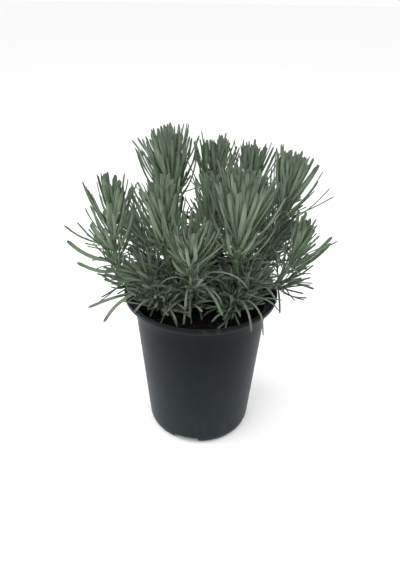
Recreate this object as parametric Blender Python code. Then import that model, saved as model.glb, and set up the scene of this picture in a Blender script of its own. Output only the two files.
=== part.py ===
"""A young lavender plant in a black nursery pot.

Units: every dimension below is in millimetres and is multiplied by MM when the meshes are made.
Frame: +Z up, origin on the pot's axis at the underside of its floor, front of the plant towards -Y.
"""

import math
import random
from collections import namedtuple

import bmesh
import bpy
from mathutils import Vector

MM = 0.001
GAP = 0.3

# Pot: one moulding with a flared, turned-down lip, a tapered wall and four drain notches at the foot.
POT_HEIGHT = 136.0
LIP_RADIUS = 65.0
LIP_SKIRT = 4.0
FLARE_HEIGHT = 11.0
# Sections of the lip, out from its edge and up from the rim, and of the flare, out from the wall and up from it.
LIP_OUTSIDE = ((-3.2, -2.4), (-1.8, -2.2), (-1.6, -LIP_SKIRT), (-0.3, -LIP_SKIRT), (0.0, -0.9), (-0.8, 0.0))
LIP_INSIDE = (-3.0, -0.5)
FLARE_OUTSIDE = (2.4, 4.5)
FLARE_INSIDE = (1.2, 6.0)
WALL_TOP_RADIUS = 56.6
WALL_FOOT_RADIUS = 46.3
FOOT_RADIUS = 41.3
FOOT_ROUND = 10.0
WALL = 1.6
FLOOR = 2.0
POT_SEGMENTS = 56
NOTCH_COUNT = 4
NOTCH_FIRST_DEG = -105.0
NOTCH_WIDTH = 24.0
NOTCH_HEIGHT = 6.5
NOTCH_REACH = 37.0
NOTCH_OVERSHOOT = 10.0
NOTCH_CORNER = 2.5
NOTCH_CORNER_STEPS = 2

# Potting soil: fills the pot to a little under the rim, slightly heaped round the stems.
SOIL_EDGE_Z = 119.0
SOIL_MIDDLE_Z = 123.0
SOIL_SEGMENTS = 40
HEAP_RINGS = (1.0, 0.8, 0.55, 0.3)

# Woody stems. A tall one leans early and then stands up; a low one rises first and then arches over the rim.
STEM_BURIED = 8.0
SOCKET_LENGTH = 30.0
STEM_RADIUS_FOOT = 2.3
STEM_RADIUS_TOP = 1.6
STEM_SIDES = 6
STEM_STEP = 9.0
TALL_TIP_Z = 205.0
LOW_TIP_Z = 160.0
TALL_KNEE = (0.86, 0.42)
LOW_KNEE = (0.44, 0.80)
START_BACK = 0.04
LINE_STEPS = 60
LINE_SAMPLES = 30

# Green shoots. Their leaf pairs stand closer towards the tip, each turned against the last.
SHOOT_HALF_SIDE = 1.15
INTERNODE_TOP = 2.7
INTERNODE_POWER = 2.0
NODE_THICKNESS = 1.5
TURN_PER_PAIR_DEG = 11.0

# Leaves. The cuts say how much less the top leaves have of each than the lowest ones.
LEAF_THICKNESS = 1.0
LEAF_WIDTH = 3.1
LEAF_WIDTHS = (0.95, 1.0, 0.42)
LEAF_THICKNESSES = (1.0, 0.9, 0.6)
LENGTH_CUT = 0.46
OPENING_CUT = 0.50
CURL_CUT = 0.50
LENGTH_SPREAD = (0.9, 1.06)
ANGLE_SPREAD_DEG = 3.5
LEAST_OPENING_DEG = 6.0
LEAST_CLOSING_DEG = 2.0
FOLDS_DEG = (0, -8, 8, -16, 16)
SHORTENINGS = (1.0, 0.85, 0.7)

# Room kept round a leaf's middle line: from other shoots, from leaves of its own shoot, and from the pot and soil.
LEAF_ROOM = 3.5
OWN_ROOM = 2.0
OWN_ROOM_FROM = 9.0
POT_ROOM = 2.6
ROOM_SPACING = 2.0
SEED = 41

# Plain colours, as linear red, green and blue.
POT_COLOUR = (0.018, 0.02, 0.022)
SOIL_COLOUR = (0.02, 0.013, 0.01)
BARK_COLOUR = (0.16, 0.14, 0.09)
LEAF_COLOUR = (0.17, 0.25, 0.16)

# foot: where the stem leaves the soil. tip: top of the green stem. leafy: length of the part with leaves.
# pairs: opposite pairs of leaves. leaf: longest leaf. opening: angle of the lowest leaves from the stem.
# curl: turn of a leaf from base to tip. knee: how far out and up the stem's bend lies, if it isn't the usual one.
# strays: single long leaves, each with its node from below, its heading about Z, its rise at the base and at
# the tip, and its length.
Shoot = namedtuple("Shoot", "name foot tip leafy pairs leaf opening curl knee strays", defaults=(None, ()))
SHOOTS = (
    Shoot(
        "far_left", (-31, -5), (-70, -4, 208), 64, 11, 50, 50, -34, (1.25, 0.135),
        ((0, 178, -8, 26, 36), (1, 190, 6, 52, 44), (2, 172, 24, 54, 38), (3, 184, 0, 50, 42)),
    ),
    Shoot(
        "right", (29, 2), (78, -2, 181), 36, 8, 40, 24, -12, (0.85, 0.18),
        ((0, -4, 26, 58, 46), (1, 8, 26, 50, 44), (2, -12, 36, 34, 42)),
    ),
    Shoot(
        "low_left", (-24, -9), (-52, -23, 160), 28, 7, 38, 52, -24, None,
        ((0, 188, -4, -26, 58), (1, 200, -2, -66, 52)),
    ),
    Shoot("rosette_right", (25, -22), (29, -27, 141), 11, 4, 26, 76, 48, None, ((2, -52, 62, -100, 50),)),
    Shoot("rosette_left", (-30, -18), (-36, -24, 139), 11, 4, 28, 76, 44, None, ((2, -128, 56, -40, 32),)),
    Shoot("low_right", (24, -13), (45, -22, 155), 24, 6, 32, 50, -24),
    Shoot("front", (-9, -11), (-7, -37, 191), 36, 10, 48, 46, -32, None, ((0, -50, 10, -50, 42),)),
    Shoot("centre_right", (22, -5), (31, -13, 214), 58, 12, 60, 46, -30),
    Shoot("centre_left", (-17, -2), (-31, -6, 204), 44, 11, 54, 44, -30),
    Shoot("back_left", (-9, 16), (-28, 45, 228), 38, 11, 54, 46, -32),
    Shoot("back_centre", (3, 24), (11, 60, 222), 36, 10, 48, 44, -30),
    Shoot("back_right", (18, 20), (42, 60, 217), 36, 10, 50, 42, -28),
    Shoot("far_right", (28, 11), (73, 36, 216), 40, 11, 52, 46, -32),
    Shoot("middle", (0, 8), (10, 20, 204), 36, 9, 48, 46, -28),
    Shoot("rear_left", (-15, 31), (-38, 78, 178), 32, 8, 46, 48, -30),
    Shoot("rear_centre", (2, 37), (12, 90, 182), 34, 8, 46, 48, -30),
    Shoot("rear_right", (24, 31), (56, 74, 178), 32, 8, 46, 48, -30),
    Shoot("side_left", (-28, 22), (-60, 47, 169), 32, 8, 42, 48, -28),
    Shoot("side_right", (34, 20), (68, 42, 164), 32, 8, 42, 48, -28),
)


def clear_scene():
    for old in list(bpy.data.objects):
        bpy.data.objects.remove(old, do_unlink=True)


def make_material(name, colour, roughness):
    material = bpy.data.materials.new(name)
    material.use_nodes = True
    shader = material.node_tree.nodes["Principled BSDF"]
    shader.inputs["Base Color"].default_value = (*colour, 1.0)
    shader.inputs["Roughness"].default_value = roughness
    shader.inputs["Metallic"].default_value = 0.0
    return material


def object_from_bmesh(name, bm, material, smooth_deg=None):
    """Finishes a bmesh whose points are in millimetres as a named object in metres."""
    bmesh.ops.scale(bm, vec=(MM, MM, MM), verts=bm.verts)
    bmesh.ops.recalc_face_normals(bm, faces=bm.faces)
    mesh = bpy.data.meshes.new(name)
    bm.to_mesh(mesh)
    bm.free()
    if smooth_deg is not None:
        mesh.shade_smooth()
        mesh.set_sharp_from_angle(angle=math.radians(smooth_deg))
    mesh.materials.append(material)
    obj = bpy.data.objects.new(name, mesh)
    bpy.context.scene.collection.objects.link(obj)
    return obj


def turned(profile, segments):
    """A closed solid of revolution about Z. The profile is an open line that starts and ends on the axis."""
    bm = bmesh.new()
    rings = []
    for radius, height in profile:
        if radius == 0:
            rings.append([bm.verts.new((0, 0, height))])
            continue
        ring = []
        for step in range(segments):
            turn = math.tau * step / segments
            ring.append(bm.verts.new((radius * math.cos(turn), radius * math.sin(turn), height)))
        rings.append(ring)
    for low, high in zip(rings, rings[1:]):
        for step in range(segments):
            corners = [low[step % len(low)], low[(step + 1) % len(low)]]
            corners += [high[(step + 1) % len(high)], high[step % len(high)]]
            bm.faces.new(list(dict.fromkeys(corners)))
    return bm


def subtract(obj, cutter_name, cutter_bm):
    """Cuts the bmesh out of the object with an exact Boolean modifier."""
    bmesh.ops.scale(cutter_bm, vec=(MM, MM, MM), verts=cutter_bm.verts)
    bmesh.ops.recalc_face_normals(cutter_bm, faces=cutter_bm.faces)
    mesh = bpy.data.meshes.new(cutter_name)
    cutter_bm.to_mesh(mesh)
    cutter_bm.free()
    cutter = bpy.data.objects.new(cutter_name, mesh)
    bpy.context.scene.collection.objects.link(cutter)
    cutter.hide_render = True
    cutter.display_type = "WIRE"
    modifier = obj.modifiers.new(cutter_name, "BOOLEAN")
    modifier.operation = "DIFFERENCE"
    modifier.solver = "EXACT"
    modifier.object = cutter


def wall_radius(z):
    """Outer radius of the tapered wall at height z, below the flare and above the rounded foot."""
    flare_z = POT_HEIGHT - FLARE_HEIGHT
    share = (z - FOOT_ROUND) / (flare_z - FOOT_ROUND)
    return WALL_FOOT_RADIUS + (WALL_TOP_RADIUS - WALL_FOOT_RADIUS) * share


def foot_arc(inset, lowest, steps=4):
    """Points of the rounded foot from the floor up to the wall, moved inwards by inset."""
    points = []
    for step in range(steps + 1):
        turn = math.radians(90.0 * step / steps)
        radius = FOOT_RADIUS + (WALL_FOOT_RADIUS - FOOT_RADIUS) * math.sin(turn)
        height = lowest + (FOOT_ROUND - lowest) * (1 - math.cos(turn))
        points.append((radius - inset, height))
    return points


def pot_profile():
    flare_z = POT_HEIGHT - FLARE_HEIGHT
    outer = [(0, 0)] + foot_arc(0, 0)
    outer += [(WALL_TOP_RADIUS, flare_z), (WALL_TOP_RADIUS + FLARE_OUTSIDE[0], flare_z + FLARE_OUTSIDE[1])]
    outer += [(LIP_RADIUS + out, POT_HEIGHT + up) for out, up in LIP_OUTSIDE]
    inner = [(LIP_RADIUS + LIP_INSIDE[0], POT_HEIGHT + LIP_INSIDE[1])]
    inner += [(WALL_TOP_RADIUS + FLARE_INSIDE[0], flare_z + FLARE_INSIDE[1])]
    inner += [(WALL_TOP_RADIUS - WALL, flare_z)]
    inner += foot_arc(WALL, FLOOR)[::-1] + [(0, FLOOR)]
    return outer + inner


def make_pot(material):
    pot = object_from_bmesh("pot", turned(pot_profile(), POT_SEGMENTS), material, smooth_deg=35)
    depth = WALL_FOOT_RADIUS + NOTCH_OVERSHOOT - NOTCH_REACH
    for number in range(NOTCH_COUNT):
        turn = math.radians(NOTCH_FIRST_DEG + 360.0 * number / NOTCH_COUNT)
        bm = bmesh.new()
        bmesh.ops.create_cube(bm, size=1.0)
        bmesh.ops.scale(bm, vec=(depth, NOTCH_WIDTH, 2 * NOTCH_HEIGHT), verts=bm.verts)
        bmesh.ops.bevel(
            bm,
            geom=[edge for edge in bm.edges if edge.verts[0].co.x != edge.verts[1].co.x],
            offset=NOTCH_CORNER,
            segments=NOTCH_CORNER_STEPS,
            affect="EDGES",
        )
        for vert in bm.verts:
            along = NOTCH_REACH + depth / 2 + vert.co.x
            across = vert.co.y
            vert.co.x = along * math.cos(turn) - across * math.sin(turn)
            vert.co.y = along * math.sin(turn) + across * math.cos(turn)
        subtract(pot, f"drain_notch_cutter_{number + 1}", bm)
    return pot


def soil_profile():
    """Soil just inside the pot: bottom outwards, up the wall, and a low heap on top."""
    inset = WALL + GAP
    bottom = FLOOR + GAP
    side = foot_arc(inset, bottom)
    edge = wall_radius(SOIL_EDGE_Z) - inset
    heap = []
    for share in HEAP_RINGS:
        height = SOIL_EDGE_Z + (SOIL_MIDDLE_Z - SOIL_EDGE_Z) * (1 - share**2)
        heap.append((edge * share, height))
    return [(0, bottom)] + side + heap + [(0, SOIL_MIDDLE_Z)]


def soil_height(x, y):
    edge = wall_radius(SOIL_EDGE_Z) - WALL - GAP
    share = min(1.0, math.hypot(x, y) / edge)
    return SOIL_EDGE_Z + (SOIL_MIDDLE_Z - SOIL_EDGE_Z) * (1 - share**2)


class Centreline:
    """The line that a stem follows: out of the soil, leaning outwards, then turning up to its tip."""

    def __init__(self, shoot):
        x, y = shoot.foot
        ground = soil_height(x, y)
        tip = Vector(shoot.tip)
        lean = Vector((tip.x - x, tip.y - y, 0))
        rise = tip.z - ground
        low = min(1.0, max(0.0, (TALL_TIP_Z - tip.z) / (TALL_TIP_Z - LOW_TIP_Z)))
        usual_knee = [tall + (arched - tall) * low for tall, arched in zip(TALL_KNEE, LOW_KNEE)]
        knee_out, knee_up = shoot.knee or usual_knee
        self.start = Vector((x, y, ground)) - Vector((0, 0, STEM_BURIED)) - lean * START_BACK
        self.knee = Vector((x, y, ground)) + lean * knee_out + Vector((0, 0, rise * knee_up))
        self.end = tip
        points = [self.point(step / LINE_STEPS) for step in range(LINE_STEPS + 1)]
        self.lengths = [0.0]
        for a, b in zip(points, points[1:]):
            self.lengths.append(self.lengths[-1] + (b - a).length)
        self.length = self.lengths[-1]

    def point(self, t):
        return self.start * (1 - t) ** 2 + self.knee * 2 * t * (1 - t) + self.end * t**2

    def at(self, distance):
        """The point and the direction at this distance from the buried end."""
        distance = min(max(distance, 0.0), self.length)
        for step in range(LINE_STEPS):
            if self.lengths[step + 1] >= distance:
                break
        span = self.lengths[step + 1] - self.lengths[step]
        t = (step + (distance - self.lengths[step]) / span) / LINE_STEPS
        direction = (self.knee - self.start) * (1 - t) + (self.end - self.knee) * t
        return self.point(t), direction.normalized()


def cross_axes(direction, twist):
    """Two unit vectors across the direction, turned about it by twist."""
    side = Vector((0, 1, 0)).cross(direction).normalized()
    other = direction.cross(side)
    first = side * math.cos(twist) + other * math.sin(twist)
    return first, direction.cross(first)


def tube(line, start, stop, radius_start, radius_stop, sides):
    """A closed round tube along part of a centreline."""
    bm = bmesh.new()
    count = max(2, round((stop - start) / STEM_STEP) + 1)
    rings = []
    for index in range(count):
        share = index / (count - 1)
        point, direction = line.at(start + (stop - start) * share)
        first, second = cross_axes(direction, 0.0)
        radius = radius_start + (radius_stop - radius_start) * share
        ring = []
        for side in range(sides):
            turn = math.tau * side / sides
            offset = first * math.cos(turn) + second * math.sin(turn)
            ring.append(bm.verts.new(point + offset * radius))
        rings.append(ring)
    for low, high in zip(rings, rings[1:]):
        for side in range(sides):
            after = (side + 1) % sides
            bm.faces.new((low[side], low[after], high[after], high[side]))
    bm.faces.new(rings[0][::-1])
    bm.faces.new(rings[-1])
    return bm


def internode(shoot, number):
    """The length of stem from one leaf pair to the next, longest at the bottom of the shoot."""
    weights = [(1 - pair / shoot.pairs) ** INTERNODE_POWER for pair in range(shoot.pairs)]
    spare = shoot.leafy - NODE_THICKNESS - INTERNODE_TOP * shoot.pairs
    return INTERNODE_TOP + max(0.0, spare) * weights[number] / sum(weights)


def leaf_path(base, direction, outward, opening, curl, length):
    """Points and directions along a leaf that starts at opening from the stem and turns by curl."""
    points = [base.copy()]
    directions = []
    steps = len(LEAF_WIDTHS)
    step = length / steps
    for index in range(steps):
        angle = math.radians(opening + curl * (index + 0.5) / steps)
        heading = (direction * math.cos(angle) + outward * math.sin(angle)).normalized()
        points.append(points[-1] + heading * step)
        directions.append(heading)
    directions.append(directions[-1])
    return points, directions


def samples_of(points):
    found = []
    for a, b in zip(points, points[1:]):
        count = max(1, math.ceil((b - a).length / ROOM_SPACING))
        found += [a.lerp(b, index / count) for index in range(count)]
    return found + [points[-1]]


def clear_of_pot(point):
    """True where a leaf's middle line has room beside the pot and above the soil."""
    radius = math.hypot(point.x, point.y)
    if point.z > POT_HEIGHT + POT_ROOM:
        return True
    if radius > LIP_RADIUS + POT_ROOM:
        return point.z > POT_ROOM
    inside = wall_radius(min(point.z, POT_HEIGHT - FLARE_HEIGHT)) - WALL - POT_ROOM
    return radius < inside and point.z > soil_height(point.x, point.y) + POT_ROOM


class Room:
    """Keeps the lines of every stem and leaf placed so far, so that a new leaf gives way to its neighbours."""

    def __init__(self):
        self.cells = {}

    def cell(self, point):
        return tuple(math.floor(value / LEAF_ROOM) for value in point)

    def add(self, owner, points):
        for point in samples_of(points):
            far = (point - points[0]).length > OWN_ROOM_FROM
            self.cells.setdefault(self.cell(point), []).append((owner, point, far))

    def is_free(self, owner, points):
        for point in samples_of(points):
            if not clear_of_pot(point):
                return False
            far = (point - points[0]).length > OWN_ROOM_FROM
            cx, cy, cz = self.cell(point)
            for dx in (-1, 0, 1):
                for dy in (-1, 0, 1):
                    for dz in (-1, 0, 1):
                        for other, place, other_far in self.cells.get((cx + dx, cy + dy, cz + dz), ()):
                            room = LEAF_ROOM
                            if other == owner:
                                room = OWN_ROOM if far and other_far else 0.0
                            if (place - point).length < room:
                                return False
        return True


def extrude_leaf(bm, base_face, points, directions):
    """Draws a leaf out of one side face of the stem, as a flat blade that narrows to its tip."""
    corners = list(base_face.verts)
    middle = base_face.calc_center_median()
    across = (corners[1].co - corners[0].co).normalized()
    bm.faces.remove(base_face)
    normal = directions[0].cross(across).normalized()
    signs = []
    for corner in corners:
        offset = corner.co - middle
        signs.append((1 if offset.dot(across) > 0 else -1, 1 if offset.dot(normal) > 0 else -1))
    if len(set(signs)) != 4:
        raise ValueError("a leaf base needs four distinct corners")
    ring = corners
    for index in range(1, len(points)):
        heading = directions[index]
        side = (across - heading * across.dot(heading)).normalized()
        up = heading.cross(side).normalized()
        half_width = LEAF_WIDTH / 2 * LEAF_WIDTHS[index - 1]
        half_thick = LEAF_THICKNESS / 2 * LEAF_THICKNESSES[index - 1]
        fresh = []
        for along, over in signs:
            place = points[index] + side * (along * half_width) + up * (over * half_thick)
            fresh.append(bm.verts.new(place))
        for number in range(4):
            after = (number + 1) % 4
            bm.faces.new((ring[number], ring[after], fresh[after], fresh[number]))
        ring = fresh
    bm.faces.new(ring)


def make_shoot(shoot, line, start, room, material, dice):
    """A green, square shoot tip with its opposite leaves, grown as one body."""
    bm = bmesh.new()
    twist = dice.uniform(0, math.pi / 2)
    half = SHOOT_HALF_SIDE
    distance = start
    rings = []
    node_rings = []

    def add_ring(at, size, number):
        point, direction = line.at(at)
        first, second = cross_axes(direction, twist + math.radians(TURN_PER_PAIR_DEG) * number)
        corners = ((1, 1), (-1, 1), (-1, -1), (1, -1))
        return [bm.verts.new(point + first * (a * size) + second * (b * size)) for a, b in corners]

    rings.append(add_ring(distance, half, 0))
    for number in range(shoot.pairs):
        distance += internode(shoot, number) - NODE_THICKNESS
        rings.append(add_ring(distance, half, number))
        node_rings.append(len(rings) - 1)
        distance += NODE_THICKNESS
        rings.append(add_ring(distance, half, number))
    rings.append(add_ring(distance + NODE_THICKNESS, half / 2, shoot.pairs - 1))

    side_faces = {}
    for level, (low, high) in enumerate(zip(rings, rings[1:])):
        for side in range(4):
            after = (side + 1) % 4
            face = bm.faces.new((low[side], low[after], high[after], high[side]))
            side_faces[level, side] = face
    bm.faces.new(rings[0][::-1])
    bm.faces.new(rings[-1])

    for stray in shoot.strays:
        grow_stray(bm, shoot, stray, line, room, node_rings, side_faces)
    for number, level in enumerate(node_rings):
        share = number / max(1, shoot.pairs - 1)
        for side in pair_sides(number):
            face = side_faces[level, side]
            if not face.is_valid:
                continue
            base = face.calc_center_median()
            _, direction = line.at(start + (base - line.at(start)[0]).length)
            outward = (base - line_nearest(line, base)).normalized()
            placed = place_leaf(shoot, room, base, direction, outward, share, dice)
            if placed:
                extrude_leaf(bm, face, *placed)
    return object_from_bmesh(f"shoot_{shoot.name}", bm, material)


def pair_sides(number):
    """The two opposite sides of the stem that carry this pair of leaves: each pair is square to the last."""
    return (0, 2) if number % 2 == 0 else (1, 3)


def grow_stray(bm, shoot, stray, line, room, node_rings, side_faces):
    """Draws one long leaf out of the side of its node that best faces its heading."""
    number, heading, rise, droop, length = stray
    outward = Vector((math.cos(math.radians(heading)), math.sin(math.radians(heading)), 0))
    faces = [side_faces[node_rings[number], side] for side in range(4)]
    places = [(face, face.calc_center_median()) for face in faces if face.is_valid]
    face, base = max(places, key=lambda place: (place[1] - line_nearest(line, place[1])).dot(outward))
    points, directions = leaf_path(base, Vector((0, 0, 1)), outward, 90 - rise, rise - droop, length)
    if room.is_free(shoot.name, points):
        room.add(shoot.name, points)
        extrude_leaf(bm, face, points, directions)


def line_nearest(line, place):
    """The point of the centreline that is closest to a place."""
    steps = 2 * LINE_STEPS
    points = (line.point(step / steps) for step in range(steps + 1))
    return min(points, key=lambda point: (point - place).length)


def place_leaf(shoot, room, base, direction, outward, share, dice):
    """A free path for this leaf, trying closer and shorter ones where a neighbour is in the way."""
    length = shoot.leaf * (1.0 - LENGTH_CUT * share**2) * dice.uniform(*LENGTH_SPREAD)
    opening = shoot.opening * (1.0 - OPENING_CUT * share) + dice.uniform(-1, 1) * ANGLE_SPREAD_DEG
    curl = shoot.curl * (1.0 - CURL_CUT * share) + dice.uniform(-1, 1) * ANGLE_SPREAD_DEG
    for fold in FOLDS_DEG:
        for shorter in SHORTENINGS:
            opened = max(LEAST_OPENING_DEG, opening + fold)
            turned_by = max(curl, LEAST_CLOSING_DEG - opened)
            points, directions = leaf_path(
                base, direction, outward, opened, turned_by, length * shorter
            )
            if room.is_free(shoot.name, points):
                room.add(shoot.name, points)
                return points, directions
    return None


def build():
    clear_scene()
    black_plastic = make_material("pot", POT_COLOUR, 0.55)
    soil_material = make_material("soil", SOIL_COLOUR, 0.95)
    bark = make_material("bark", BARK_COLOUR, 0.85)
    foliage = make_material("foliage", LEAF_COLOUR, 0.75)

    make_pot(black_plastic)
    soil = object_from_bmesh(
        "potting_soil", turned(soil_profile(), SOIL_SEGMENTS), soil_material, smooth_deg=35
    )

    room = Room()
    lines = {}
    for shoot in SHOOTS:
        line = Centreline(shoot)
        lines[shoot.name] = line
        points = [line.at(line.length * step / LINE_SAMPLES)[0] for step in range(LINE_SAMPLES + 1)]
        room.add(shoot.name, points)

    dice = random.Random(SEED)
    for shoot in SHOOTS:
        line = lines[shoot.name]
        leafy_from = line.length - shoot.leafy
        socket = tube(
            line, 0.0, SOCKET_LENGTH, STEM_RADIUS_FOOT + GAP, STEM_RADIUS_FOOT + GAP, STEM_SIDES
        )
        subtract(soil, f"socket_cutter_{shoot.name}", socket)
        stem = tube(
            line, GAP, leafy_from - GAP, STEM_RADIUS_FOOT, STEM_RADIUS_TOP, STEM_SIDES
        )
        object_from_bmesh(f"stem_{shoot.name}", stem, bark, smooth_deg=60)
        make_shoot(shoot, line, leafy_from, room, foliage, dice)


build()
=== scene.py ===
"""Looks of the potted lavender: pot, crumbly soil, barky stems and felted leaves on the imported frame.

Every length is in metres. Leaves and stems are grown along lines that are read from the frame's own meshes.
"""

import math
import random
from collections import defaultdict

import bmesh
import bpy
import numpy as np
from mathutils import Matrix, Vector, noise


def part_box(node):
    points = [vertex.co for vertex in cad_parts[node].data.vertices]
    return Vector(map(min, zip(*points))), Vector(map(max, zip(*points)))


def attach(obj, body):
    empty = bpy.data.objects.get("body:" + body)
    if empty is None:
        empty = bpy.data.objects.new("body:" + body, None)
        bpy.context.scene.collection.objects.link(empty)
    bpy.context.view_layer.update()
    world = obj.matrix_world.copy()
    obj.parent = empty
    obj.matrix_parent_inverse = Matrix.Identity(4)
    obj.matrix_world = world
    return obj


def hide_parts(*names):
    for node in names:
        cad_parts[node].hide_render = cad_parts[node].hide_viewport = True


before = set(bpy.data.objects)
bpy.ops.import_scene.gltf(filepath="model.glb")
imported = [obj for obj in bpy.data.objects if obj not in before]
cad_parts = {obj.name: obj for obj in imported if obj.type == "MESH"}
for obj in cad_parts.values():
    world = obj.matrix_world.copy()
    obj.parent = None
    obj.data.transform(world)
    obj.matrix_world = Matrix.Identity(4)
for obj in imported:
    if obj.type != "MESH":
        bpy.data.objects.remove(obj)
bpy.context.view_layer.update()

SEED = 7

# ---------------------------------------------------------------- sizes read from the frame
POT_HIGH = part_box("pot")[1]
SOIL_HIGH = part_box("potting_soil")[1]
LIP_RADIUS = POT_HIGH.x
POT_HEIGHT = POT_HIGH.z
SOIL_MIDDLE_Z = SOIL_HIGH.z

# Pot details that repeat the design's own sizes.
FLARE_HEIGHT = 0.011
LIP_SKIRT = 0.004
WALL_TOP_RADIUS = 0.0566
WALL_FOOT_RADIUS = 0.0463
FOOT_RADIUS = 0.0413
FOOT_ROUND = 0.010
WALL = 0.0016
FLOOR = 0.002
POT_SEGMENTS = 192
# How far the thin wall is out of round at the top, as a share of its radius.
POT_WOBBLE = 0.0012
NOTCH_FIRST_DEG = -105.0
NOTCH_COUNT = 4
NOTCH_WIDTH = 0.024
NOTCH_HEIGHT = 0.0065
NOTCH_REACH = 0.037
NOTCH_CORNER = 0.0025
SOIL_HEAP = 0.004
SOIL_GAP = 0.0003

# ---------------------------------------------------------------- camera, floor and light
CAMERA_PLACE = (-0.0009, -0.4161, 0.3783)
CAMERA_TILT_DEG = 29.9
CAMERA_ROLL_DEG = -1.0
CAMERA_LENS = 35.6
CAMERA_SENSOR = 36.0
CAMERA_NEAR = 0.01

# Each softbox: its name, place, size across and up, and power in watts.
SOFTBOXES = (
    ("softbox_top", (-0.25, -0.45, 1.2), (1.0, 1.0), 6.5),
    ("softbox_left", (-1.0, 0.05, 0.35), (0.6, 0.9), 9.0),
    ("softbox_right", (1.0, 0.1, 0.35), (0.6, 0.9), 4.5),
)
LIGHT_TARGET = (0, 0, 0.15)
WORLD_COLOUR = (1.0, 1.0, 1.0)
WORLD_STRENGTH = 1.0
FLOOR_HALF = 6.0
FLOOR_COLOUR = (0.95, 0.95, 0.95)
FLOOR_ROUGHNESS = 0.9


def make_camera():
    data = bpy.data.cameras.new("camera")
    data.lens = CAMERA_LENS
    data.sensor_width = CAMERA_SENSOR
    data.clip_start = CAMERA_NEAR
    camera = bpy.data.objects.new("camera", data)
    bpy.context.scene.collection.objects.link(camera)
    tilt = math.radians(CAMERA_TILT_DEG)
    back = Vector((0, -math.cos(tilt), math.sin(tilt)))
    up = Vector((0, math.sin(tilt), math.cos(tilt)))
    roll = Matrix.Rotation(-math.radians(CAMERA_ROLL_DEG), 3, back)
    axes = Matrix((roll @ Vector((1, 0, 0)), roll @ up, back)).transposed()
    camera.matrix_world = Matrix.Translation(CAMERA_PLACE) @ axes.to_4x4()
    bpy.context.scene.camera = camera


def make_softbox(name, place, size, power):
    data = bpy.data.lights.new(name, "AREA")
    data.shape = "RECTANGLE"
    data.size, data.size_y = size
    data.energy = power
    light = bpy.data.objects.new(name, data)
    light.location = place
    light.rotation_euler = (Vector(LIGHT_TARGET) - Vector(place)).to_track_quat("-Z", "Y").to_euler()
    bpy.context.scene.collection.objects.link(light)


def make_studio():
    """A white world, three softboxes and a plain pale floor."""
    for softbox in SOFTBOXES:
        make_softbox(*softbox)
    world = bpy.data.worlds.new("studio")
    world.use_nodes = True
    background = world.node_tree.nodes["Background"]
    background.inputs["Color"].default_value = (*WORLD_COLOUR, 1)
    background.inputs["Strength"].default_value = WORLD_STRENGTH
    bpy.context.scene.world = world
    bpy.context.scene.view_settings.view_transform = "Standard"

    half = FLOOR_HALF
    corners = [(-half, -half, 0), (half, -half, 0), (half, half, 0), (-half, half, 0)]
    mesh = bpy.data.meshes.new("floor")
    mesh.from_pydata(corners, [], [(0, 1, 2, 3)])
    look = Look("floor")
    look.surface("Base Color", FLOOR_COLOUR)
    look.surface("Roughness", FLOOR_ROUGHNESS)
    mesh.materials.append(look.material)
    floor = bpy.data.objects.new("floor", mesh)
    bpy.context.scene.collection.objects.link(floor)


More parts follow.
